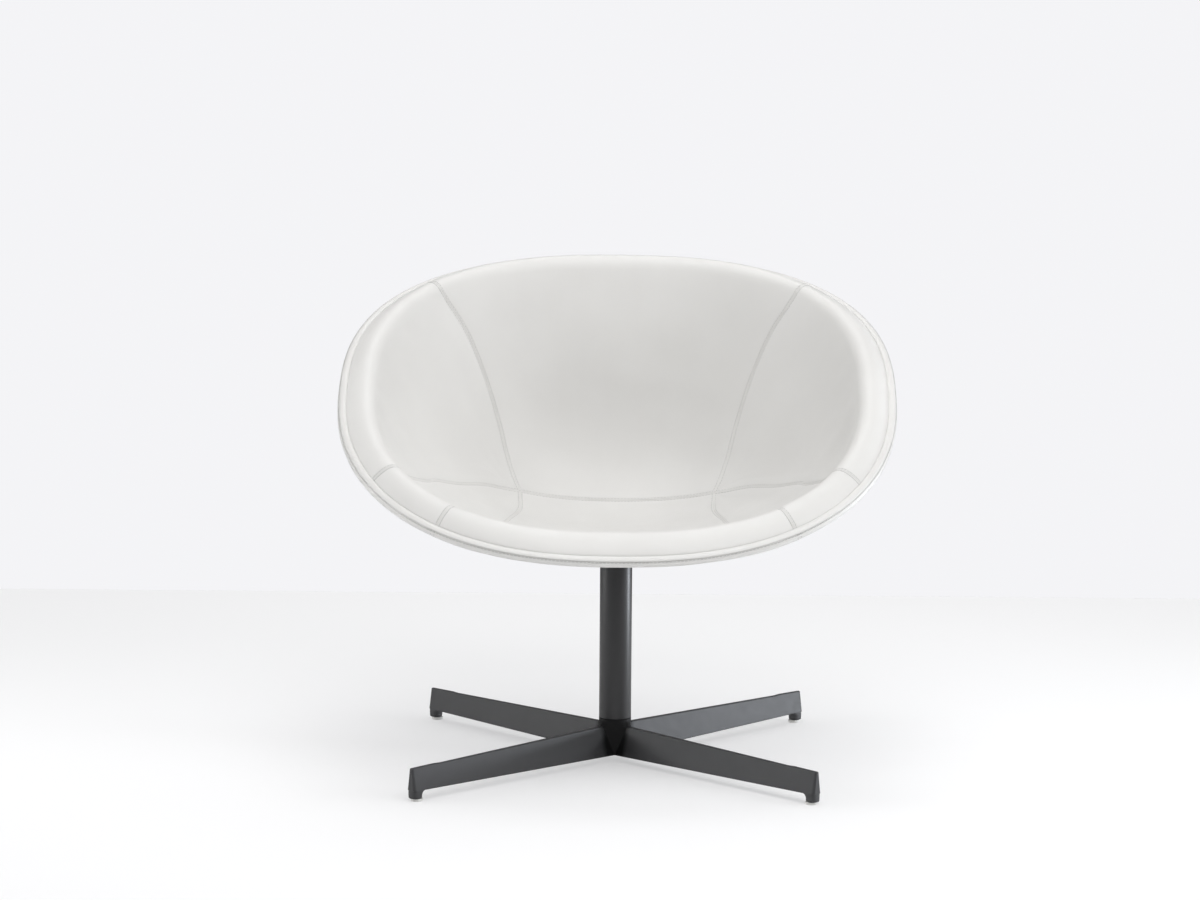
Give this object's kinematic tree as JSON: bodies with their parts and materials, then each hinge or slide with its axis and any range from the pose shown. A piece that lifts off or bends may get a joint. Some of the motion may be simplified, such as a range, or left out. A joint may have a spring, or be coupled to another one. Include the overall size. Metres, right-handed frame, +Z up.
{
  "type": "pedestal swivel armchair",
  "caption": "Low upholstered bucket armchair whose wide shell turns on a round column over a flat star base with small glides.",
  "frame": {"origin": "on the floor, on the axis of the column", "axes": "+X to the sitter's left and across the seat, +Y to the back of the chair, so that the sitter looks along -Y, +Z up"},
  "size_m": [0.7556, 0.6414, 0.6713],
  "materials": {
    "leather_white": "satin",
    "base_paint": "matte",
    "column_paint": "satin",
    "steel": "satin",
    "pale_nylon": "matte",
    "dark_plastic": "matte",
    "shell_plastic": "matte",
    "foam": "matte"
  },
  "bodies": {
    "base": {"star_base": "base_paint", "glide_rear_right": "pale_nylon", "glide_rear_left": "pale_nylon", "glide_front_left": "pale_nylon", "glide_front_right": "pale_nylon", "column_tube": "column_paint", "column_plug": "steel", "column_bolt": "steel", "bolt_washer": "steel", "hub_cap": "dark_plastic", "lower_bush": "pale_nylon", "upper_bush": "pale_nylon", "thrust_washer": "steel"},
    "seat": {"spindle": "steel", "retaining_ring": "steel", "seat_plate": "steel", "plate_screw_1": "steel", "insert_1": "steel", "plate_screw_2": "steel", "insert_2": "steel", "plate_screw_3": "steel", "insert_3": "steel", "plate_screw_4": "steel", "insert_4": "steel", "seat_shell": "shell_plastic", "foam_padding": "foam", "back_panel": "leather_white", "side_panel_left": "leather_white", "corner_panel_left": "leather_white", "seat_panel": "leather_white", "corner_panel_right": "leather_white", "side_panel_right": "leather_white", "edge_welt": "leather_white", "cover_back": "leather_white", "cover_left": "leather_white", "cover_front": "leather_white", "cover_right": "leather_white"}
  },
  "joints": [
    {"name": "swivel", "type": "hinge", "parent": "base", "child": "seat", "pos_m": [0, 0, 0.2745], "axis": [0, 0, 1], "continuous": true}
  ]
}
